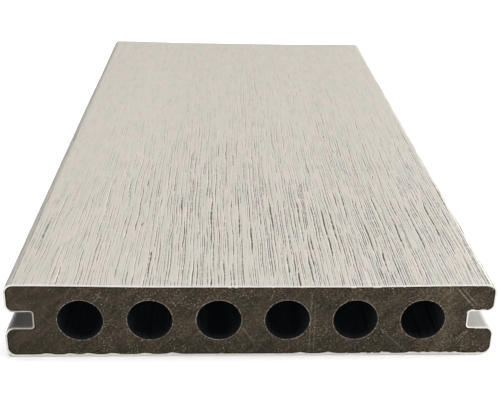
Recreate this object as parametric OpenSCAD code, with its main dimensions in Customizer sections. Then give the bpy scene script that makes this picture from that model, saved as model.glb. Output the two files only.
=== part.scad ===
// Short length of hollow wood-plastic decking board, capped all round.
// The section lies in X and Z, the board runs along Y, and Z is zero at the underside.

/* [Board] */
// Width over the lower lips
board_w = 140; // [120:1:200]
// Thickness from the underside to the walking face
board_h = 23.4; // [20:0.1:30]
// Length between the two sawn ends
board_l = 280; // [60:10:4000]
// Radius of the four long outer edges
edge_r = 2.8; // [1.2:0.1:3.5]
// How far the upper lip stands back from the lower one, on each side
lip_step = 0.65; // [0.1:0.05:2]

/* [Cap] */
// Thickness of the skin on the outer faces
cap_t = 0.55; // [0.3:0.05:0.8]
// Thickness of the skin inside the grooves
groove_cap_t = 0.4; // [0.2:0.05:0.8]

/* [Clip grooves] */
// Height of the lower lip above the underside
lower_lip_h = 9.4; // [7:0.1:11]
// Clear height of the groove
groove_h = 5.2; // [4.2:0.1:6]
// Depth of the groove from the edge of the lower lip
groove_d = 8.1; // [6:0.1:10]
// Radius of the upper lip's edge at the groove's mouth
upper_mouth_r = 2.2; // [1:0.1:3.5]
// Radius of the lower lip's edge at the groove's mouth
lower_mouth_r = 2.8; // [1:0.1:3.5]
// Radius of the two corners at the groove's floor
groove_floor_r = 0.7; // [0.3:0.05:1]

/* [Bores] */
// Diameter of each bore
bore_d = 12.8; // [10:0.1:14]
// Wall between one bore and the next
bore_wall = 6.7; // [4:0.1:12]
// Least wall between the last bore and the groove's floor
side_wall = 6; // [4:0.1:10]
// How far the bores lie above the middle of the thickness
bore_rise = 0.1; // [0:0.05:1]

/* [Hidden] */
$fn = 96;

// Overrun of every cut past the face that it opens
over = 1;

half_w = board_w / 2;
groove_top_h = lower_lip_h + groove_h;
upper_lip_t = board_h - groove_top_h;
web_half_w = half_w - groove_d;

// An edge is never rounded past half of its lip
upper_edge_r = min(edge_r, upper_lip_t / 2);
lower_edge_r = min(edge_r, lower_lip_h / 2);
upper_groove_edge_r = min(upper_mouth_r, upper_lip_t / 2);
lower_groove_edge_r = min(lower_mouth_r, lower_lip_h / 2);

// As many bores as the web between the grooves takes
bore_pitch = bore_d + bore_wall;
bore_gaps = floor((2 * (web_half_w - side_wall) - bore_d) / bore_pitch);
bore_z = board_h / 2 + bore_rise;

// What a quarter round of radius r leaves over, outside the corner at r, r
module corner_waste(r) {
    difference() {
        square(r + over);
        circle(r);
    }
}

// Bar across the board, with one radius on its low edges and one on its high edges
module lip_bar(half, low, high, low_r, high_r) {
    difference() {
        translate([-half, low]) square([2 * half, high - low]);
        for (side = [0, 1]) mirror([side, 0]) {
            translate([half - high_r, high - high_r]) corner_waste(high_r);
            translate([half - low_r, low + low_r]) mirror([0, 1]) corner_waste(low_r);
        }
    }
}

// Fillet of radius r in the corner between the web and a lip
module floor_fillet(r) {
    difference() {
        translate([-over, -over]) square(r + over);
        translate([r, r]) circle(r);
    }
}

// Outline of the board, its outer faces and the grooves' faces moved inwards by an inset each:
// outer edges lose that much radius and the groove's inner corners gain it
module outline(inset, groove_inset) {
    web_half = web_half_w - groove_inset;
    fillet_r = groove_floor_r + groove_inset;
    lower_top = lower_lip_h - groove_inset;
    upper_bottom = groove_top_h + groove_inset;
    lip_bar(half_w - inset, inset, lower_top,
        lower_edge_r - inset, lower_groove_edge_r - inset);
    lip_bar(half_w - lip_step - inset, upper_bottom, board_h - inset,
        upper_groove_edge_r - inset, upper_edge_r - inset);
    translate([-web_half, lower_top - over])
        square([2 * web_half, upper_bottom - lower_top + 2 * over]);
    for (side = [0, 1]) mirror([side, 0]) {
        translate([web_half, lower_top]) floor_fillet(fillet_r);
        translate([web_half, upper_bottom]) mirror([0, 1]) floor_fillet(fillet_r);
    }
}

// Runs a section along the whole length of the board
module extruded() {
    translate([0, board_l / 2, 0]) rotate([90, 0, 0])
        linear_extrude(height = board_l) children();
}

module bores() {
    for (place = [0 : bore_gaps])
        translate([(place - bore_gaps / 2) * bore_pitch, 0, bore_z]) rotate([90, 0, 0])
            cylinder(h = board_l + 2 * over, d = bore_d, center = true);
}

// Dark wood-plastic body with its row of bores
module core() {
    color("#453f35")
        difference() {
            extruded() outline(cap_t, groove_cap_t);
            bores();
        }
}

// Pale skin round the whole outline, the insides of the grooves included
module cap() {
    color("#cbc6bf")
        extruded() difference() {
            outline(0, 0);
            outline(cap_t, groove_cap_t);
        }
}

core();
cap();
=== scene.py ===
import math
import random

import bmesh
import bpy
import numpy as np
from mathutils import Euler, Matrix, Vector, kdtree, noise


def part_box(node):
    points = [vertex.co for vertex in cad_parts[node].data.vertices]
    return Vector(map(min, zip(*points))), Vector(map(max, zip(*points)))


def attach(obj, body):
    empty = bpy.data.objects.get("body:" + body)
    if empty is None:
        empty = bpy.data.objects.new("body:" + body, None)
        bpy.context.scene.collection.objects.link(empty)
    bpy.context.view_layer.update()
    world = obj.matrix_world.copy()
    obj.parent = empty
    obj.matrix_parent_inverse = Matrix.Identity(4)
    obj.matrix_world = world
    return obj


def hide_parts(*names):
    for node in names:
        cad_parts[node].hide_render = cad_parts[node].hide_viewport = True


mm = 0.001  # every length below in millimetres is multiplied by this
touch = 0.01 * mm  # places closer than this are taken as the same

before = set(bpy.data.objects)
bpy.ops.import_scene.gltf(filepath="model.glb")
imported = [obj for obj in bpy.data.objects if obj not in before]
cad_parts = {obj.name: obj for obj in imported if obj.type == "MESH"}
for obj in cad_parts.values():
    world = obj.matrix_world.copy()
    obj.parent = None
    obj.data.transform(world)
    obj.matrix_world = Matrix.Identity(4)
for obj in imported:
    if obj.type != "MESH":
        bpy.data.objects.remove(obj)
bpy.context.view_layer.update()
boardLow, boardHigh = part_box("cap")
halfWidth = boardHigh.x
halfLength = boardHigh.y
thickness = boardHigh.z
print("frame loaded, board is %.0f x %.0f x %.0f mm"
      % (2 * halfWidth / mm, 2 * halfLength / mm, thickness / mm))

# Camera, set up first

cameraSettings = {
    "place": (-9.36 * mm, -354.7 * mm, 143.5 * mm),
    "yaw": 3.66,          # degrees to the right of straight along the board
    "pitch": 24.47,       # degrees down
    "roll": 1.79,
    "lens": 63.35,
    "sensorWidth": 36,
    "shift": (-0.0442, 0.0242),
    "clip": (0.01, 50),
}


def makeCamera(settings):
    data = bpy.data.cameras.new("camera")
    data.lens = settings["lens"]
    data.sensor_width = settings["sensorWidth"]
    data.shift_x, data.shift_y = settings["shift"]
    data.clip_start, data.clip_end = settings["clip"]
    camera = bpy.data.objects.new("camera", data)
    bpy.context.scene.collection.objects.link(camera)
    aim = Euler((math.radians(90 - settings["pitch"]), 0, -math.radians(settings["yaw"])))
    turn = aim.to_matrix() @ Matrix.Rotation(math.radians(settings["roll"]), 3, "Z")
    camera.rotation_euler = turn.to_euler()
    camera.location = settings["place"]
    bpy.context.scene.camera = camera


makeCamera(cameraSettings)
print("camera placed")

# Small helpers for selecting and for meshes


def selectOnly(obj):
    bpy.ops.object.select_all(action="DESELECT")
    obj.select_set(True)
    bpy.context.view_layer.objects.active = obj


def editOnly(obj):
    selectOnly(obj)
    bpy.ops.object.mode_set(mode="EDIT")
    bpy.ops.mesh.select_all(action="DESELECT")


def leaveEdit():
    bpy.ops.object.mode_set(mode="OBJECT")


def pick(obj, kind, test):
    bpy.ops.mesh.select_all(action="DESELECT")
    bpy.ops.mesh.select_mode(type=kind)
    mesh = bmesh.from_edit_mesh(obj.data)
    for item in mesh.faces if kind == "FACE" else mesh.edges:
        if test(item):
            item.select_set(True)
    mesh.select_flush_mode()
    bmesh.update_edit_mesh(obj.data)


def runsAlong(edge):
    a, b = edge.verts
    return abs(a.co.x - b.co.x) < 1e-6 and abs(a.co.z - b.co.z) < 1e-6


def vertexPlaces(mesh):
    places = np.zeros(3 * len(mesh.vertices))
    mesh.vertices.foreach_get("co", places)
    return places.reshape(-1, 3)


def putVertices(mesh, places):
    mesh.vertices.foreach_set("co", places.ravel())
    mesh.update()


def addAttribute(mesh, name, values):
    attribute = mesh.attributes.new(name, "FLOAT", "POINT")
    attribute.data.foreach_set("value", values.astype(np.float32))


def applyModifier(obj, modifier):
    bpy.context.view_layer.objects.active = obj
    bpy.ops.object.modifier_apply(modifier=modifier.name)


# Small helpers for materials


def newMaterial(name):
    material = bpy.data.materials.new(name)
    material.use_nodes = True
    tree = material.node_tree
    return material, tree, tree.nodes["Principled BSDF"]


def addNode(tree, kind, inputs=None, **values):
    node = tree.nodes.new(kind)
    for key, value in values.items():
        setattr(node, key, value)
    for key, value in (inputs or {}).items():
        if isinstance(value, bpy.types.NodeSocket):
            tree.links.new(value, node.inputs[key])
        else:
            node.inputs[key].default_value = value
    return node


def scaledCoords(tree, scale, turn=(0, 0, 0), flow=None):
    # repeats per metre along each axis, on the object or along the piece's own grain map
    if flow:
        source = addNode(tree, "ShaderNodeUVMap", uv_map=flow).outputs["UV"]
    else:
        source = addNode(tree, "ShaderNodeTexCoord").outputs["Object"]
    turned = addNode(tree, "ShaderNodeMapping", {"Vector": source, "Rotation": turn})
    mapping = addNode(tree, "ShaderNodeMapping", {"Vector": turned.outputs["Vector"], "Scale": scale})
    return mapping.outputs["Vector"]


def noiseAt(tree, vector, detail=3, roughness=0.5):
    texture = addNode(tree, "ShaderNodeTexNoise",
                      {"Vector": vector, "Scale": 1, "Detail": detail, "Roughness": roughness})
    return texture.outputs["Fac"]


def attributeValue(tree, name):
    return addNode(tree, "ShaderNodeAttribute", attribute_name=name).outputs["Fac"]


def ramp(tree, value, stops):
    # stops are (position, grey) pairs
    node = addNode(tree, "ShaderNodeValToRGB", {"Fac": value})
    elements = node.color_ramp.elements
    while len(elements) < len(stops):
        elements.new(0.5)
    for element, (position, shade) in zip(elements, stops):
        element.position = position
        element.color = (shade, shade, shade, 1)
    return node.outputs["Color"]


def calc(tree, operation, first, second=0.0):
    return addNode(tree, "ShaderNodeMath", {0: first, 1: second},
                   operation=operation).outputs["Value"]


def vectorCalc(tree, operation, first, second):
    # for the operations on two vectors that give one number
    return addNode(tree, "ShaderNodeVectorMath", {0: first, 1: second},
                   operation=operation).outputs["Value"]


def mapped(tree, value, low, high, atLow, atHigh, way="SMOOTHSTEP"):
    # goes from atLow to atHigh while the value goes from low to high
    return addNode(tree, "ShaderNodeMapRange",
                   {"Value": value, "From Min": low, "From Max": high,
                    "To Min": atLow, "To Max": atHigh},
                   interpolation_type=way).outputs["Result"]


def mixColor(tree, factor, first, second, blend="MIX"):
    return addNode(tree, "ShaderNodeMix", {0: factor, 6: first, 7: second},
                   data_type="RGBA", blend_type=blend).outputs[2]


def shaded(tree, color, shade, factor=1.0):
    return mixColor(tree, factor, color, shade, "MULTIPLY")


def addBump(tree, shader, height, distance):
    node = addNode(tree, "ShaderNodeBump", {"Height": height, "Distance": distance})
    tree.links.new(node.outputs["Normal"], shader.inputs["Normal"])


def setSurface(tree, shader, color, roughness, specular=0.5):
    tree.links.new(color, shader.inputs["Base Color"])
    shader.inputs["Roughness"].default_value = roughness
    shader.inputs["Specular IOR Level"].default_value = specular


# The cap: an open tube of the board's outline, then a wall, then its grain

capShape = {
    "wall": 0.55 * mm,
    "grooveWall": 0.4 * mm,
    "edgeRadius": 2.8 * mm,
    "lipStep": 0.65 * mm,
    "grooveLow": 9.4 * mm,
    "grooveHigh": 14.6 * mm,
    "grooveDepth": 8.1 * mm,
    "upperMouthRadius": 2.2 * mm,
    "lowerMouthRadius": 2.8 * mm,
    "floorRadius": 0.7 * mm,
    "dish": 0.4 * mm,               # the walking face's middle lies this much lower
    "dishSpan": (27 * mm, 61 * mm),  # and rises to full height between these
    "dishSlack": 0.05 * mm,         # its points lie no deeper than the dish and this
    "topPanels": 24,
    "columnsPerPanel": 22,
    "undersideColumns": 180,
    "rows": 38,
    "splitsPerRow": 3,
    "crowding": 0.45,               # rows lie closer together towards the front end
    "grainDownTo": 18 * mm,         # the round edges keep the grain down to this height
}


def makeTube(shape, materials):
    bpy.ops.object.select_all(action="DESELECT")
    bpy.ops.mesh.primitive_cube_add(size=1, location=(boardLow + boardHigh) / 2,
                                    scale=boardHigh - boardLow)
    tube = bpy.context.object
    tube.name = tube.data.name = "boardCap"
    bpy.ops.object.transform_apply(location=True, rotation=False, scale=True)
    for material in materials:
        tube.data.materials.append(material)
    editOnly(tube)
    cutHeights = (shape["grooveLow"], shape["grooveHigh"])
    for height in cutHeights:
        bpy.ops.mesh.select_all(action="SELECT")
        bpy.ops.mesh.bisect(plane_co=(0, 0, height), plane_no=(0, 0, 1))
    middle = sum(cutHeights) / 2

    # push the strip between the lips in, on both sides, then open the two ends
    for side in (-1, 1):
        pick(tube, "FACE", lambda f: f.normal.x * side > 0.9
             and abs(f.calc_center_median().z - middle) < mm)
        inwards = (-side * shape["grooveDepth"], 0, 0)
        bpy.ops.mesh.extrude_region_move(TRANSFORM_OT_translate={"value": inwards})
    pick(tube, "FACE", lambda f: abs(f.normal.y) > 0.9)
    bpy.ops.mesh.delete(type="FACE")
    for side in (-1, 1):
        pick(tube, "EDGE", lambda e: runsAlong(e) and e.verts[0].co.z > middle
             and e.verts[0].co.x * side > halfWidth - mm)
        bpy.ops.transform.translate(value=(-side * shape["lipStep"], 0, 0))

    # round the long edges, each group by its own radius
    upperWidth = halfWidth - shape["lipStep"]
    floorX = halfWidth - shape["grooveDepth"]
    rounds = [  # place across, height, radius and number of faces
        (upperWidth, thickness, shape["edgeRadius"], 11),
        (halfWidth, 0, shape["edgeRadius"], 9),
        (upperWidth, shape["grooveHigh"], shape["upperMouthRadius"], 7),
        (halfWidth, shape["grooveLow"], shape["lowerMouthRadius"], 7),
        (floorX, shape["grooveHigh"], shape["floorRadius"], 4),
        (floorX, shape["grooveLow"], shape["floorRadius"], 4),
    ]
    for across, height, radius, segments in rounds:
        pick(tube, "EDGE", lambda e: runsAlong(e)
             and abs(abs(e.verts[0].co.x) - across) < touch
             and abs(e.verts[0].co.z - height) < touch)
        bpy.ops.mesh.bevel(offset=radius, segments=segments, affect="EDGES")

    # panels across both broad faces, then rows along the whole tube
    for height, columns in ((thickness, shape["topPanels"]), (0, shape["undersideColumns"])):
        pick(tube, "EDGE", lambda e: not runsAlong(e)
             and all(abs(v.co.z - height) < touch for v in e.verts)
             and (e.verts[0].co - e.verts[1].co).length > halfWidth)
        bpy.ops.mesh.subdivide(number_cuts=columns - 1)
    pick(tube, "EDGE", runsAlong)
    bpy.ops.mesh.subdivide(number_cuts=shape["rows"] - 1)
    leaveEdit()
    return tube


undersideGrain = {
    "seed": 5,
    "dents": 70,
    "firstStart": 30 * mm,     # no other dent starts nearer to the front end
    "beforeEnd": (6, 12),      # in millimetres, where the dents at the front end start
    "length": (40 * mm, 150 * mm),
    "halfWidth": (0.45 * mm, 1.0 * mm),
    "depth": (0.2 * mm, 0.42 * mm),
    "halfWidthAtEnd": (0.8 * mm, 1.2 * mm),
    "depthAtEnd": (0.4 * mm, 0.52 * mm),
    "lean": 0.01,
    "blunt": 0.15,             # how much of a dent's start is cut short, and how fast its ends fade
    "fade": 8,
    "margin": 2 * mm,          # kept free beside the round edges
    # dents that the front end cuts through, measured across the board
    "atFrontEnd": [-58.8, -52, -47, -39.9, -30.9, -22.8, 13.8, 22.2, 38.8, 46.6, 50, 53, 56.1, 59.1],
}


def smoothStep(value, low, high):
    share = np.clip((value - low) / (high - low), 0, 1)
    return share * share * (3 - 2 * share)


def shapeTube(tube, shape, dents):
    # crowd the rows towards the front, dish the walking face and press the underside's grain in
    places = vertexPlaces(tube.data)
    x, y, z = places.T.copy()
    share = (y + halfLength) / (2 * halfLength)
    crowd = shape["crowding"]
    places[:, 1] = -halfLength + 2 * halfLength * share * (1 - crowd + crowd * share)
    y = places[:, 1].copy()
    onTop = z > thickness - touch
    places[onTop, 2] -= shape["dish"] * (1 - smoothStep(abs(x[onTop]), *shape["dishSpan"]))

    chance = random.Random(dents["seed"])
    under = z < touch
    edge = halfWidth - shape["edgeRadius"]
    reach = edge - dents["margin"]
    rise = np.zeros(under.sum())
    strokes = [(place * mm, -halfLength - chance.uniform(*dents["beforeEnd"]) * mm, "AtEnd")
               for place in dents["atFrontEnd"]]
    for number in range(dents["dents"]):
        strokes.append((chance.uniform(-reach, reach),
                        chance.uniform(-halfLength + dents["firstStart"], halfLength), ""))
    for across, start, kind in strokes:
        length = chance.uniform(*dents["length"])
        width = chance.uniform(*dents["halfWidth" + kind])
        depth = chance.uniform(*dents["depth" + kind])
        lean = chance.gauss(0, dents["lean"])
        along = (y[under] - start) / length
        taper = np.clip(np.minimum(along + dents["blunt"], 1 - along) * dents["fade"], 0, 1)
        offset = (x[under] - across - lean * (y[under] - start)) / width
        rise = np.maximum(rise, depth * taper * np.exp2(-offset ** 2))
    rise *= 1 - smoothStep(abs(x[under]), reach, edge)
    places[under, 2] += rise
    putVertices(tube.data, places)


def giveWall(tube, shape):
    # full thickness outside, thinner in the grooves, and in between round their mouths
    thin = shape["grooveWall"] / shape["wall"]
    group = tube.vertex_groups.new(name="wall")
    for vertex in tube.data.vertices:
        across, height = abs(vertex.co.x), vertex.co.z
        if height < (shape["grooveLow"] + shape["grooveHigh"]) / 2:
            width, radius = halfWidth, shape["lowerMouthRadius"]
            inGroove = height > shape["grooveLow"] - radius
        else:
            width, radius = halfWidth - shape["lipStep"], shape["upperMouthRadius"]
            inGroove = height < shape["grooveHigh"] + radius
        share = min(1, max(0, (across - width + radius) / radius)) if inGroove else 1
        group.add([vertex.index], thin + (1 - thin) * share, "REPLACE")
    wall = tube.modifiers.new("wall", "SOLIDIFY")
    wall.vertex_group = group.name
    wall.thickness = shape["wall"]
    wall.offset = -1
    wall.use_even_offset = True
    wall.material_offset = 1
    wall.material_offset_rim = 2
    applyModifier(tube, wall)


def copyInside(cap):
    # a copy of the inner skin, run out past both ends and closed: the core is cut to it
    selectOnly(cap)
    bpy.ops.object.duplicate()
    inside = bpy.context.object
    editOnly(inside)
    pick(inside, "FACE", lambda f: f.material_index != 1)
    bpy.ops.mesh.delete(type="FACE")
    for side in (-1, 1):
        pick(inside, "EDGE", lambda e: not runsAlong(e)
             and all(v.co.y * side > halfLength - touch for v in e.verts))
        bpy.ops.mesh.extrude_edges_move(
            TRANSFORM_OT_translate={"value": (0, side * 5 * mm, 0)})
        bpy.ops.mesh.edge_face_add()
    bpy.ops.mesh.select_all(action="SELECT")
    bpy.ops.mesh.normals_make_consistent(inside=False)
    leaveEdit()
    return inside


def refineSkin(cap, shape):
    # shorter rows on the outer skin all but the underside, and fine columns on the walking face
    edge = halfWidth - shape["edgeRadius"] + touch
    editOnly(cap)
    pick(cap, "EDGE", lambda e: runsAlong(e)
         and any(f.material_index == 0 for f in e.link_faces)
         and (abs(e.verts[0].co.x) > edge or e.verts[0].co.z > mm))
    bpy.ops.mesh.subdivide(number_cuts=shape["splitsPerRow"] - 1)
    leastWidth = halfWidth / shape["topPanels"]
    lowest = thickness - shape["dish"] - shape["dishSlack"]
    pick(cap, "EDGE", lambda e: not runsAlong(e)
         and any(f.material_index == 0 for f in e.link_faces)
         and all(v.co.z > lowest for v in e.verts)
         and abs(e.verts[0].co.x - e.verts[1].co.x) > leastWidth)
    bpy.ops.mesh.subdivide(number_cuts=shape["columnsPerPanel"] - 1)
    leaveEdit()


topGrain = {
    "seed": 21,
    "spacing": 0.64 * mm,            # between one row of strokes and the next
    "length": (7 * mm, 66 * mm, 20 * mm),  # least, most and most often
    "gap": 3.5 * mm,
    "depth": 0.11 * mm,              # of a stroke of strength 1, near the front end
    "strengths": [(0.25, 0.45), (0.5, 0.8), (0.85, 1.15)],  # faint, middle and dark strokes
    "strengthShares": [0.34, 0.4, 0.26],
    "stray": 0.3,                    # how far a stroke strays from its row, by the spacing
    "fade": (12, 9),                 # how fast a stroke's start and end fade
    "strongReach": 50 * mm,          # beyond this from the front end dark strokes are shorter
    "shortened": 0.5,                # and keep this share of their length
    "patches": (60, 16, 0.45),       # repeats per metre across and along, and how strong
    "beadLength": 3.5 * mm,
    "pits": 12,
    "pitStrength": 1.4,
    "calmEdge": 5 * mm,              # the pattern wavers less and less over this beside the edges
    # how far the pattern wavers sideways, and over what width and length, in millimetres
    "waver": [(1.1, 55, 120), (0.35, 9, 26), (0.25, 3, 15), (0.35, 1.8, 18), (0.15, 1.2, 5.5)],
    # strength across the board from left to right, and along it from the front end
    "acrossPlaces": [-70 * mm, -38 * mm, -14 * mm, 14 * mm, 70 * mm],
    "acrossShares": [0.44, 0.64, 1.08, 1.06, 0.95],
    "alongPlaces": [0, 50 * mm, 90 * mm, 150 * mm, 280 * mm],
    "alongShares": [1.04, 0.92, 0.64, 0.33, 0.17],
}


def addStroke(marks, column, rows, stroke, chance, grain):
    start, length, strength = stroke
    touched = np.nonzero((rows > start) & (rows < start + length))[0]
    along = rows[touched] - start
    atStart, atEnd = grain["fade"]
    taper = np.clip(np.minimum(atStart * along, atEnd * (length - along)) / length, 0, 1)
    knots = np.arange(0, length + 2 * grain["beadLength"], grain["beadLength"])
    beads = np.interp(along, knots, [chance.uniform(0.6, 1.05) for knot in knots])
    marks[touched, column] = np.maximum(marks[touched, column], strength * taper * beads)


def grainMarks(grain, columns, rows):
    # how strong the stroke is at every row and column, and 0 where there is none
    chance = random.Random(grain["seed"])
    marks = np.zeros((len(rows), len(columns)))
    least, most, usual = grain["length"]
    patchAcross, patchAlong, patchShare = grain["patches"]
    tracks = round((columns[-1] - columns[0]) / grain["spacing"])
    for track in range(tracks):
        home = columns[0] + (track + 0.5) * grain["spacing"]
        start = rows[0] - chance.uniform(0, most)
        while start < rows[-1]:
            length = chance.triangular(least, most, usual)
            across = home + chance.gauss(0, grain["stray"]) * grain["spacing"]
            column = int(np.argmin(abs(columns - across)))
            kind = chance.choices(grain["strengths"], grain["strengthShares"])[0]
            if kind == grain["strengths"][-1] and start > rows[0] + grain["strongReach"]:
                length *= grain["shortened"]
            patch = noise.noise(Vector((across * patchAcross, start * patchAlong, 3.3)))
            strength = chance.uniform(*kind) * (1 + patchShare * patch)
            addStroke(marks, column, rows, (start, length, strength), chance, grain)
            start += length + chance.expovariate(1 / grain["gap"])
    for pit in range(grain["pits"]):
        row, column = chance.randrange(len(rows)), chance.randrange(3, len(columns) - 4)
        marks[row, column] = grain["pitStrength"]
    return marks


def addTopGrain(cap, shape, grain):
    mesh = cap.data
    places = vertexPlaces(mesh)
    x, y, z = places.T.copy()
    radius = shape["edgeRadius"]
    flat = halfWidth - shape["lipStep"] - radius
    beyond = np.maximum(abs(x) - flat, 0)
    above = z - (thickness - radius)
    turn = np.arctan2(beyond, above)
    dishDepth = shape["dish"] + shape["dishSlack"]
    outerHeight = np.where(beyond > 0, radius - shape["wall"] / 2, radius - dishDepth)
    onTop = np.nonzero((above > -touch) & (np.hypot(beyond, above) > outerHeight))[0]
    side = np.sign(x)
    across = np.where(beyond > 0, side * (flat + radius * turn), x)

    columns = np.unique(np.round(across[onTop], 6))
    rows = np.unique(np.round(y[onTop], 6))
    marks = grainMarks(grain, columns, rows)
    widened = marks.copy()
    widened[:, 1:] = np.maximum(widened[:, 1:], marks[:, :-1])
    widened[:, :-1] = np.maximum(widened[:, :-1], marks[:, 1:])
    column = np.minimum(np.searchsorted(columns, across[onTop] - 1e-6), len(columns) - 1)
    row = np.minimum(np.searchsorted(rows, y[onTop] - 1e-6), len(rows) - 1)
    share = np.interp(across[onTop], grain["acrossPlaces"], grain["acrossShares"])
    fade = np.interp(y[onTop] + halfLength, grain["alongPlaces"], grain["alongShares"])
    found = marks[row, column] * share
    nearby = widened[row, column] * share
    deepen = grain["depth"] * found * np.sqrt(fade)
    places[onTop, 0] -= side[onTop] * np.sin(turn[onTop]) * deepen
    places[onTop, 2] -= np.cos(turn[onTop]) * deepen
    shadeTone, form = np.zeros(len(places)), np.zeros(len(places))
    shadeTone[onTop] = nearby * fade
    form[onTop] = found / np.maximum(nearby, 0.01)

    for index in onTop:  # the whole pattern wavers along the board
        if beyond[index] > 0:
            continue
        bend = 0
        for reach, width, length in grain["waver"]:
            at = Vector((x[index] / (width * mm), y[index] / (length * mm), 9 * width))
            bend += reach * mm * noise.noise(at)
        calm = min(1, (flat - abs(x[index])) / grain["calmEdge"])
        places[index, 0] += bend * calm
    places[:, 1] = np.clip(places[:, 1], -halfLength, halfLength)
    putVertices(mesh, places)
    # the painted shade of each stroke, used by the material
    addAttribute(mesh, "grooveShade", shadeTone)  # how dark the stroke here is, carried to both sides
    addAttribute(mesh, "grainForm", form)  # 1 along a stroke's bottom and 0 beside it

    # the grain map keeps the straight columns, so that patterns waver with them
    corners = np.zeros(len(mesh.loops), dtype=np.int32)
    mesh.loops.foreach_get("vertex_index", corners)
    flow = np.stack([across[corners], y[corners]], 1)
    layer = mesh.uv_layers.new(name="grainFlow")
    layer.data.foreach_set("uv", flow.ravel().astype(np.float32))


capFinish = {
    "pink": (0.504, 0.452, 0.411, 1),
    "green": (0.460, 0.448, 0.397, 1),
    # painted shade at the bottoms of the grain's grooves
    "line": (0.068, 0.054, 0.030, 1),
    # darker than the walking face though the skin is one material: painted shade on its sides, grooves
    # and underside
    "side": (0.365, 0.35, 0.325, 1),
    "cut": (0.905, 0.838, 0.776, 1),
    # the cut round this groove gets painted shade
    "shadedGroove": (-65, 0, 12),    # middle of the groove with the dull cut, in millimetres
    # patterns by their repeats per metre across and along
    "patches": (260, 80, 0),
    "streaks": (420, 14, 0),
    "hair": (1150, 60, 0),
    "hairBreaks": (420, 90, 4),
    "beads": (700, 520, 9),
    "hairStrength": 0.22,
    # painted highlight on the lips beside the strokes
    "lipHighlightStrength": 0.32,       # of the pale lips beside the strokes
    "bump": 0.012 * mm,
    "roughness": 0.5,
    "sideRoughness": 0.45,
    "cutRoughness": 0.7,
}


def makeCapGrain(finish):
    material, tree, shader = newMaterial("capGrain")

    def pattern(name, detail=2):
        return noiseAt(tree, scaledCoords(tree, finish[name], flow="grainFlow"), detail=detail)

    base = mixColor(tree, ramp(tree, pattern("patches"), [(0.36, 0), (0.64, 1)]),
                    finish["pink"], finish["green"])
    streaks = pattern("streaks", detail=4)
    base = shaded(tree, base, ramp(tree, streaks, [(0.3, 0.985), (0.7, 1.015)]))

    # hair lines between the modelled strokes, painted shade of the fine grooves that the bump presses
    # in
    ridge = calc(tree, "ABSOLUTE", calc(tree, "SUBTRACT", pattern("hair"), 0.5))
    hairLine = ramp(tree, ridge, [(0.0, 1), (0.045, 0)])
    unbroken = ramp(tree, pattern("hairBreaks"), [(0.42, 0), (0.62, 1)])
    hairLine = calc(tree, "MULTIPLY", hairLine, unbroken)

    # the modelled strokes: painted shade along their bottoms, wider where they are darker, with fine
    # beads
    shadeTone = attributeValue(tree, "grooveShade")
    form = attributeValue(tree, "grainForm")
    wide = calc(tree, "ADD", form, calc(tree, "MULTIPLY", shadeTone, 0.25))
    strong = ramp(tree, shadeTone, [(0.06, 0), (0.25, 0.48), (0.5, 0.88), (0.75, 1)])
    # a painted highlight along the lips beside each stroke
    lipHighlight = ramp(tree, form, [(0.0, 0), (0.2, finish["lipHighlightStrength"]), (0.5, 0)])
    base = mixColor(tree, calc(tree, "MULTIPLY", lipHighlight, strong), base, (1, 1, 1, 1))
    stroke = calc(tree, "MULTIPLY", ramp(tree, wide, [(0.54, 0), (0.88, 1)]), strong)
    stroke = calc(tree, "MULTIPLY", stroke, ramp(tree, pattern("beads"), [(0.36, 0.35), (0.52, 1)]))
    faint = calc(tree, "MULTIPLY", hairLine, finish["hairStrength"])
    # painted shade in the grooves: the strokes and the hair lines
    dark = calc(tree, "MINIMUM", calc(tree, "ADD", stroke, faint), 1)
    base = mixColor(tree, dark, base, finish["line"])
    setSurface(tree, shader, base, finish["roughness"], 0.3)
    addBump(tree, shader, calc(tree, "SUBTRACT", streaks, hairLine), finish["bump"])
    return material


def makeCapSide(finish):
    material, tree, shader = newMaterial("capSide")
    marks = noiseAt(tree, scaledCoords(tree, (900, 12, 900)), detail=3)
    # the darker side colour is painted shade
    base = shaded(tree, finish["side"], ramp(tree, marks, [(0.3, 0.92), (0.7, 1.05)]))
    setSurface(tree, shader, base, finish["sideRoughness"])
    addBump(tree, shader, marks, 0.02 * mm)
    return material


def makeCapCut(finish):
    material, tree, shader = newMaterial("capCut")
    marks = noiseAt(tree, scaledCoords(tree, (900, 900, 2500)), detail=2)
    base = shaded(tree, finish["cut"], ramp(tree, marks, [(0.3, 0.85), (0.7, 1)]))

    # painted shade dulls the thin cut round the left groove
    section = scaledCoords(tree, (1 / mm, 0, 1 / mm))
    fromGroove = vectorCalc(tree, "DISTANCE", section, finish["shadedGroove"])
    dust = ramp(tree, calc(tree, "MULTIPLY", fromGroove, 0.1), [(0.38, 0.5), (0.5, 1)])
    setSurface(tree, shader, shaded(tree, base, dust), finish["cutRoughness"])
    return material


def finishCap(cap, shape):
    # only the walking face and its two round edges keep the grain
    for face in cap.data.polygons:
        turnedAway = face.normal.z < 0.2 or face.center.z < shape["grainDownTo"]
        if face.material_index == 0 and turnedAway:
            face.material_index = 1


cap = makeTube(capShape, [makeCapGrain(capFinish), makeCapSide(capFinish), makeCapCut(capFinish)])
shapeTube(cap, capShape, undersideGrain)
giveWall(cap, capShape)
inside = copyInside(cap)
refineSkin(cap, capShape)
addTopGrain(cap, capShape, topGrain)
finishCap(cap, capShape)
print("cap made, %d faces" % len(cap.data.polygons))

# The core

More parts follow.
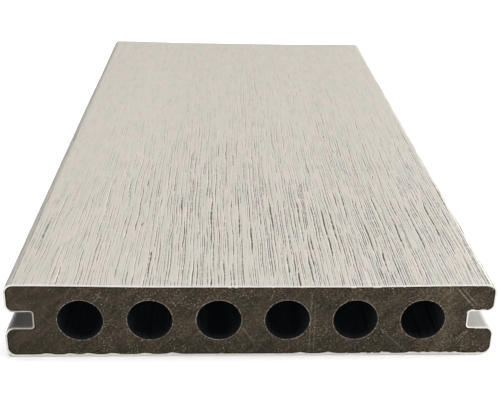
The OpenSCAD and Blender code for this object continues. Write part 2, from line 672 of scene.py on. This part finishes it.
coreShape = {
    "seed": 11,
    "boreRadius": 6.4 * mm,
    "borePitch": 19.5 * mm,
    "boreHeight": 11.8 * mm,
    "bores": 6,
    "boreSides": 144,
    "rimWidth": 0.07 * mm,     # how far the bores flare at the ends, and over what depth
    "rimDepth": 0.12 * mm,
    "ragged": 0.07 * mm,
    "cell": 0.29 * mm,         # mesh size of the sawn ends
    "sawDepth": 0.06 * mm,
    "wave": (450, 50, 450),    # repeats per metre of the saw's waves, along X, Y and Z
    "slant": (260, 50, 40),    # and of its slanting ones, along X + Z, Y and X - Z
}


def boreOffset(place, shape):
    # sideways from the nearest bore's axis
    number = np.clip(round(place / shape["borePitch"] + (shape["bores"] - 1) / 2),
                     0, shape["bores"] - 1)
    return place - (number - (shape["bores"] - 1) / 2) * shape["borePitch"]


def makeBoreCutter(shape):
    # six rods with ragged flared ends
    chance = random.Random(shape["seed"])
    rods = []
    for number in range(shape["bores"]):
        across = (number - (shape["bores"] - 1) / 2) * shape["borePitch"]
        bpy.ops.object.select_all(action="DESELECT")
        bpy.ops.mesh.primitive_cylinder_add(
            vertices=shape["boreSides"], radius=shape["boreRadius"],
            depth=2 * halfLength + 10 * mm, location=(across, 0, shape["boreHeight"]),
            rotation=(math.radians(90), 0, 0))
        rod = bpy.context.object
        bpy.ops.object.transform_apply(location=True, rotation=True, scale=True)
        editOnly(rod)
        for place in (halfLength, halfLength - shape["rimDepth"]):
            for side in (-1, 1):
                bpy.ops.mesh.select_all(action="SELECT")
                bpy.ops.mesh.bisect(plane_co=(0, side * place, 0), plane_no=(0, 1, 0))
        leaveEdit()
        for vertex in rod.data.vertices:
            ring = Vector((vertex.co.x - across, 0, vertex.co.z - shape["boreHeight"]))
            if abs(vertex.co.y) > halfLength - touch:
                grown = shape["rimWidth"] + chance.uniform(-1, 1) * shape["ragged"]
                vertex.co += ring.normalized() * grown
        rods.append(rod)
    for rod in rods:
        rod.select_set(True)
    bpy.context.view_layer.objects.active = rods[0]
    bpy.ops.object.join()
    return bpy.context.object


def cutWith(obj, cutter, operation):
    modifier = obj.modifiers.new("cut", "BOOLEAN")
    modifier.operation = operation
    modifier.solver = "EXACT"
    modifier.object = cutter
    applyModifier(obj, modifier)
    bpy.data.objects.remove(cutter)


def makeCore(shape, inside):
    width = 2 * (halfWidth + mm)
    height = thickness + 2 * mm
    bpy.ops.object.select_all(action="DESELECT")
    bpy.ops.mesh.primitive_grid_add(
        x_subdivisions=round(width / shape["cell"]), y_subdivisions=round(height / shape["cell"]),
        size=1, location=(0, -halfLength, thickness / 2), rotation=(math.radians(90), 0, 0))
    bpy.ops.transform.resize(value=(width, 1, height))
    core = bpy.context.object
    core.name = core.data.name = "boardCore"
    bpy.ops.object.transform_apply(location=True, rotation=True, scale=True)
    editOnly(core)
    bpy.ops.mesh.select_all(action="SELECT")
    bpy.ops.mesh.extrude_region_move(
        TRANSFORM_OT_translate={"value": (0, 2 * halfLength, 0)})
    bpy.ops.mesh.select_all(action="SELECT")
    bpy.ops.mesh.normals_make_consistent(inside=False)
    leaveEdit()
    cutWith(core, inside, "INTERSECT")
    cutWith(core, makeBoreCutter(shape), "DIFFERENCE")
    return core


sawMarks = {
    "seed": 8,
    "halfWidth": 0.13 * mm,
    # from and to, across the board and up from the underside in millimetres, and how strong
    "long": [
        (57.7, 22.1, 63.4, 15.7, 1.0), (59.2, 22.1, 64.2, 16.6, 0.6), (62.2, 8.2, 59.3, 3.4, 0.6),
        (61.2, 7.6, 58.8, 4.2, 0.4), (16.3, 1.0, 16.4, 20.0, 0.45), (17.6, 1.2, 17.5, 18.0, 0.35),
        (-44.2, 18.0, -42.4, 21.4, 0.5), (-3.1, 9.3, 0.4, 4.3, 0.4), (36.5, 9.0, 43.5, 2.2, 0.35),
    ],
    "short": 90,
    "across": (-68, 68),
    "height": (1, 22),
    "length": (1.5, 7.0),
    "slope": (38, 62),         # degrees from level
    "falling": 0.75,           # share that fall to the right
    "strength": (0.08, 0.35),
    "lineWidth": 0.3 * mm,     # of the long ones, as drawn
}


def sawScratches(marks):
    chance = random.Random(marks["seed"])
    scratches = list(marks["long"])
    for number in range(marks["short"]):
        x, z = chance.uniform(*marks["across"]), chance.uniform(*marks["height"])
        length = chance.uniform(*marks["length"])
        slope = math.radians(chance.uniform(*marks["slope"]))
        fall = -1 if chance.random() < marks["falling"] else 1
        scratches.append((x, z, x + length * math.cos(slope), z + fall * length * math.sin(slope),
                          chance.uniform(*marks["strength"])))
    return scratches


def finishCore(core, shape, marks, materials):
    # each face's finish by its place: sawn end, outside, bore wall, bore rim
    mesh = core.data
    endPlane = halfLength - 0.001 * mm
    for material in materials:
        mesh.materials.append(material)
    for face in mesh.polygons:
        across = boreOffset(face.center.x, shape)
        fromAxis = math.hypot(across, face.center.z - shape["boreHeight"])
        if abs(face.center.y) > endPlane:
            face.material_index = 0
        elif fromAxis < shape["boreRadius"] + 0.5 * mm:
            nearEnd = abs(face.center.y) > halfLength - shape["rimDepth"]
            face.material_index = 3 if nearEnd else 2
        else:
            face.material_index = 1

    # how far every point of the sawn ends lies from the skin
    places = vertexPlaces(mesh)
    outline = set()
    for face in mesh.polygons:
        if face.material_index == 1:
            outline.update(face.vertices)
    tree = kdtree.KDTree(len(outline))
    for index in outline:
        tree.insert(mesh.vertices[index].co, index)
    tree.balance()
    fromSkin = np.ones(len(places))
    fromBore = np.ones(len(places))
    atEnd = np.nonzero(abs(places[:, 1]) > endPlane)[0]
    for index in atEnd:
        fromSkin[index] = min(1, tree.find(places[index])[2] / mm)
        across = boreOffset(places[index, 0], shape)
        fromAxis = math.hypot(across, places[index, 2] - shape["boreHeight"])
        fromBore[index] = min(1, (fromAxis - shape["boreRadius"]) / mm)
    addAttribute(mesh, "fromSkin", fromSkin)
    addAttribute(mesh, "fromBore", fromBore)

    # the saw's uneven cut and its scratches
    scratch = np.zeros(len(places))
    for x1, z1, x2, z2, strength in sawScratches(marks):
        start = np.array([x1, z1]) * mm
        run = np.array([x2, z2]) * mm - start
        beyond = places[atEnd][:, [0, 2]] - start
        share = np.clip(beyond @ run / (run @ run), 0, 1)
        gap = np.linalg.norm(beyond - share[:, None] * run, axis=1)
        deep = strength * np.exp2(-(gap / marks["halfWidth"]) ** 2)
        scratch[atEnd] = np.maximum(scratch[atEnd], deep)
    addAttribute(mesh, "scratch", scratch)
    for index in atEnd:
        x, y, z = places[index]
        wave = noise.noise(Vector((x, y, z)) * Vector(shape["wave"]))
        slant = noise.noise(Vector((x + z, y, x - z)) * Vector(shape["slant"]))
        depth = shape["sawDepth"] * np.clip(0.4 + 0.4 * wave + 0.4 * slant + scratch[index], 0, 1)
        places[index, 1] -= math.copysign(depth, y)
    putVertices(mesh, places)


coreFinish = {
    "brown": (0.060, 0.0445, 0.029, 1),
    "olive": (0.037, 0.0315, 0.021, 1),
    "red": (0.10, 0.050, 0.032, 1),
    "speck": (0.34, 0.29, 0.22, 1),
    # the bores' walls: the core's dark brown, made darker and bluer as painted shade inside the bores
    "bore": (0.021, 0.024, 0.029, 1),
    # painted highlight on the bores' edges
    "rim": (0.38, 0.33, 0.27, 1),
    "crumb": (0.8, 0.77, 0.7, 1),
    "smoothTo": (-60 * mm, -48 * mm),   # left of these the cut is smooth, right of them rough
    "rubbedAt": 53 * mm,
    "rubbedReach": (2 * mm, 7 * mm),
    "blotch": (49 * mm, 3.6 * mm),      # across the board and up
    "tornFrom": (-16 * mm, -7 * mm),    # right of these the saw tore crumbs of skin in
    "bump": 0.08 * mm,
}


def drawnScratch(tree, place, mark, width):
    # one crisp line on the sawn ends, from and to as in sawMarks
    x1, z1, x2, z2, strength = mark
    slope = math.atan2(z2 - z1, x2 - x1)
    length = math.hypot(x2 - x1, z2 - z1)
    laid = addNode(tree, "ShaderNodeMapping",
                   {"Vector": place, "Location": (x1 * mm, 0, z1 * mm), "Rotation": (0, -slope, 0),
                    "Scale": (length * mm, 1, width)}, vector_type="TEXTURE").outputs["Vector"]
    parts = addNode(tree, "ShaderNodeSeparateXYZ", {"Vector": laid})
    line = ramp(tree, calc(tree, "ABSOLUTE", parts.outputs["Z"]), [(0.2, strength), (0.5, 0)])
    along = ramp(tree, parts.outputs["X"], [(0, 0), (0.08, 1), (0.85, 0.8), (1, 0)])
    return calc(tree, "MULTIPLY", line, along)


def makeSawnCore(finish, marks):
    material, tree, shader = newMaterial("coreSawn")
    patches = noiseAt(tree, scaledCoords(tree, (150, 150, 150)), detail=4, roughness=0.6)
    base = mixColor(tree, ramp(tree, patches, [(0.38, 0), (0.62, 1)]),
                    finish["brown"], finish["olive"])
    bands = noiseAt(tree, scaledCoords(tree, (900, 60, 200), turn=(0, math.radians(-45), 0)), detail=3)
    base = shaded(tree, base, ramp(tree, bands, [(0.3, 0.75), (0.7, 1.3)]))

    # the left end came out smoother
    place = addNode(tree, "ShaderNodeTexCoord").outputs["Object"]
    across = addNode(tree, "ShaderNodeSeparateXYZ", {"Vector": place}).outputs["X"]
    rough = mapped(tree, across, *finish["smoothTo"], 0.35, 1.0)
    mottle = noiseAt(tree, scaledCoords(tree, (1500, 1500, 1500)), detail=4, roughness=0.7)
    base = shaded(tree, base, ramp(tree, mottle, [(0.34, 0.4), (0.5, 0.95), (0.66, 1.9)]), rough)
    dust = noiseAt(tree, scaledCoords(tree, (2200, 2200, 2200)), detail=0)
    clusters = noiseAt(tree, scaledCoords(tree, (170, 170, 170), turn=(0.4, 0.3, 0.2)), detail=2)
    specks = calc(tree, "MULTIPLY", ramp(tree, dust, [(0.70, 0), (0.75, 1)]),
                  ramp(tree, clusters, [(0.42, 0.08), (0.62, 1)]))

    # the right end is rubbed paler beside its groove
    fromRub = calc(tree, "ABSOLUTE", calc(tree, "SUBTRACT", across, finish["rubbedAt"]))
    base = shaded(tree, base, mapped(tree, fromRub, *finish["rubbedReach"], 1.6, 1.0))

    # a reddish blotch under the last bore
    blotchAcross, blotchHeight = finish["blotch"]
    fromBlotch = vectorCalc(tree, "DISTANCE", place, (blotchAcross, -halfLength, blotchHeight))
    blotch = ramp(tree, calc(tree, "MULTIPLY", fromBlotch, 250), [(0.1, 0.7), (0.75, 0)])
    blotch = calc(tree, "MULTIPLY", blotch, ramp(tree, mottle, [(0.4, 0.2), (0.6, 1)]))
    base = mixColor(tree, blotch, base, finish["red"])
    base = mixColor(tree, calc(tree, "MULTIPLY", specks, rough), base, finish["speck"])

    # the scratches, broken up by crumbs
    scratch = calc(tree, "MULTIPLY", attributeValue(tree, "scratch"), 0.6)
    for mark in marks["long"]:
        drawn = drawnScratch(tree, place, mark, marks["lineWidth"])
        scratch = calc(tree, "MAXIMUM", scratch, drawn)
    crumbs = noiseAt(tree, scaledCoords(tree, (1600, 1600, 1600)), detail=2)
    scratch = calc(tree, "MULTIPLY", scratch, ramp(tree, crumbs, [(0.38, 0.15), (0.56, 1)]))
    base = mixColor(tree, scratch, base, finish["speck"])

    # a frayed painted highlight on the edge round each bore
    bore = attributeValue(tree, "fromBore")
    frayed = noiseAt(tree, scaledCoords(tree, (1100, 1100, 1100)), detail=2)
    edgeHighlight = calc(tree, "MULTIPLY", ramp(tree, bore, [(0.12, 1), (0.28, 0)]),
                ramp(tree, frayed, [(0.42, 0.1), (0.56, 1)]))
    base = mixColor(tree, edgeHighlight, base, finish["rim"])

    # darker where it meets the skin, with crumbs of skin dragged in here and there
    rim = attributeValue(tree, "fromSkin")
    uneven = calc(tree, "SUBTRACT", rim, calc(tree, "MULTIPLY", frayed, 0.25))
    base = shaded(tree, base, ramp(tree, uneven, [(0.05, 0.25), (0.35, 1)]))
    torn = noiseAt(tree, scaledCoords(tree, (520, 520, 520), turn=(0.2, 0.5, 0.1)), detail=1)
    nicks = calc(tree, "MULTIPLY", ramp(tree, rim, [(0.1, 0.85), (0.3, 0)]),
                 ramp(tree, torn, [(0.6, 0), (0.66, 1)]))
    tornSide = mapped(tree, across, *finish["tornFrom"], 0, 1, "LINEAR")
    nicks = calc(tree, "MULTIPLY", nicks, tornSide)
    base = mixColor(tree, nicks, base, finish["crumb"])
    setSurface(tree, shader, base, 0.8, 0.12)
    addBump(tree, shader, calc(tree, "ADD", mottle, bands), finish["bump"])
    return material


def makeCorePlain(name, color, roughness, specular, contrast):
    material, tree, shader = newMaterial(name)
    marks = noiseAt(tree, scaledCoords(tree, (1500, 200, 1500)), detail=3)
    base = shaded(tree, color, ramp(tree, marks, [(0.3, 1 - contrast), (0.7, 1 + contrast)]))
    setSurface(tree, shader, base, roughness, specular)
    return material


core = makeCore(coreShape, inside)
finishCore(core, coreShape, sawMarks, [
    makeSawnCore(coreFinish, sawMarks),
    # name, colour, roughness, specular and contrast
    makeCorePlain("coreOutside", coreFinish["brown"], 0.7, 0.3, 0.4),
    # near black: partly the core's own colour, partly painted shade inside the bores
    makeCorePlain("boreWall", coreFinish["bore"], 0.9, 0.05, 0.15),
    makeCorePlain("boreRim", coreFinish["brown"], 0.8, 0.2, 0.8),
])
print("core made, %d faces" % len(core.data.polygons))

for piece, node in ((cap, "cap"), (core, "core")):
    selectOnly(piece)
    bpy.ops.object.shade_smooth_by_angle(angle=math.radians(50))
    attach(piece, "root")
    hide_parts(node)
print("pieces ride on the board")

# Stage: a plain pale floor under soft boxes overhead, low on the far right and low in front

stage = {
    "floor": (0.9, 0.9, 0.9, 1),
    "floorSize": 24,
    "floorGlow": 0.3,          # the floor is a light table
    "floorDrop": 0.25 * mm,    # the uneven underside leaves a thin gap
    "sky": (0.98, 0.99, 1.0, 1),
    # soft boxes on the dome: towards, cosine of the angle at the rim and at full strength, strength
    "boxes": [((0, 0, 1), 0.93, 1.0, 10.8), ((0.81, 0.5, 0.3), 0.75, 1.0, 6.6),
              ((0, -1, 0.1), 0.93, 1.0, 3.8)],
    "wallRadius": 11,
    "wallHeight": 12,
    "wallGlow": 1.1,
    "keyPlace": (0.75, -0.1, 0.7),
    "keySize": 0.4,
    "keyPower": 3.0,
    "keyColor": (1, 0.98, 0.95),
}


def makeFloor(settings):
    bpy.ops.object.select_all(action="DESELECT")
    bpy.ops.mesh.primitive_plane_add(size=settings["floorSize"],
                                     location=(0, 0, -settings["floorDrop"]))
    floor = bpy.context.object
    floor.name = "floor"
    material, tree, shader = newMaterial("paleFloor")
    shader.inputs["Base Color"].default_value = settings["floor"]
    shader.inputs["Roughness"].default_value = 1.0
    shader.inputs["Specular IOR Level"].default_value = 0.0
    shader.inputs["Emission Color"].default_value = (1, 1, 1, 1)
    shader.inputs["Emission Strength"].default_value = settings["floorGlow"]
    floor.data.materials.append(material)


def makeBackdrop(settings):
    # a pale wall far round the floor, only to be looked at: it neither lights nor shades the board
    bpy.ops.object.select_all(action="DESELECT")
    bpy.ops.mesh.primitive_cylinder_add(vertices=96, radius=settings["wallRadius"],
                                        depth=settings["wallHeight"], end_fill_type="NOTHING")
    wall = bpy.context.object
    wall.name = "backdrop"
    material, tree, shader = newMaterial("paleWall")
    shader.inputs["Base Color"].default_value = (0, 0, 0, 1)
    shader.inputs["Specular IOR Level"].default_value = 0.0
    shader.inputs["Emission Color"].default_value = (1, 1, 1, 1)
    shader.inputs["Emission Strength"].default_value = settings["wallGlow"]
    wall.data.materials.append(material)
    for kind in ("diffuse", "glossy", "transmission", "shadow"):
        setattr(wall, "visible_" + kind, False)


def makeLight(name, place, size, power, color):
    data = bpy.data.lights.new(name, "AREA")
    data.shape = "SQUARE"
    data.size = size
    data.energy = power
    data.color = color
    light = bpy.data.objects.new(name, data)
    bpy.context.scene.collection.objects.link(light)
    light.location = place
    light.rotation_euler = (-Vector(place)).to_track_quat("-Z", "Y").to_euler()


def makeDome(settings):
    world = bpy.data.worlds.new("dome")
    bpy.context.scene.world = world
    world.use_nodes = True
    tree = world.node_tree
    direction = addNode(tree, "ShaderNodeTexCoord").outputs["Generated"]
    total = 0.0
    for towards, low, high, strength in settings["boxes"]:
        facing = vectorCalc(tree, "DOT_PRODUCT", direction, towards)
        total = calc(tree, "ADD", mapped(tree, facing, low, high, 0, strength), total)
    tree.links.new(total, tree.nodes["Background"].inputs["Strength"])
    tree.nodes["Background"].inputs["Color"].default_value = settings["sky"]


makeFloor(stage)
makeBackdrop(stage)
makeLight("key", *(stage["key" + part] for part in ("Place", "Size", "Power", "Color")))
makeDome(stage)
bpy.context.scene.view_settings.view_transform = "Standard"
print("stage lit")
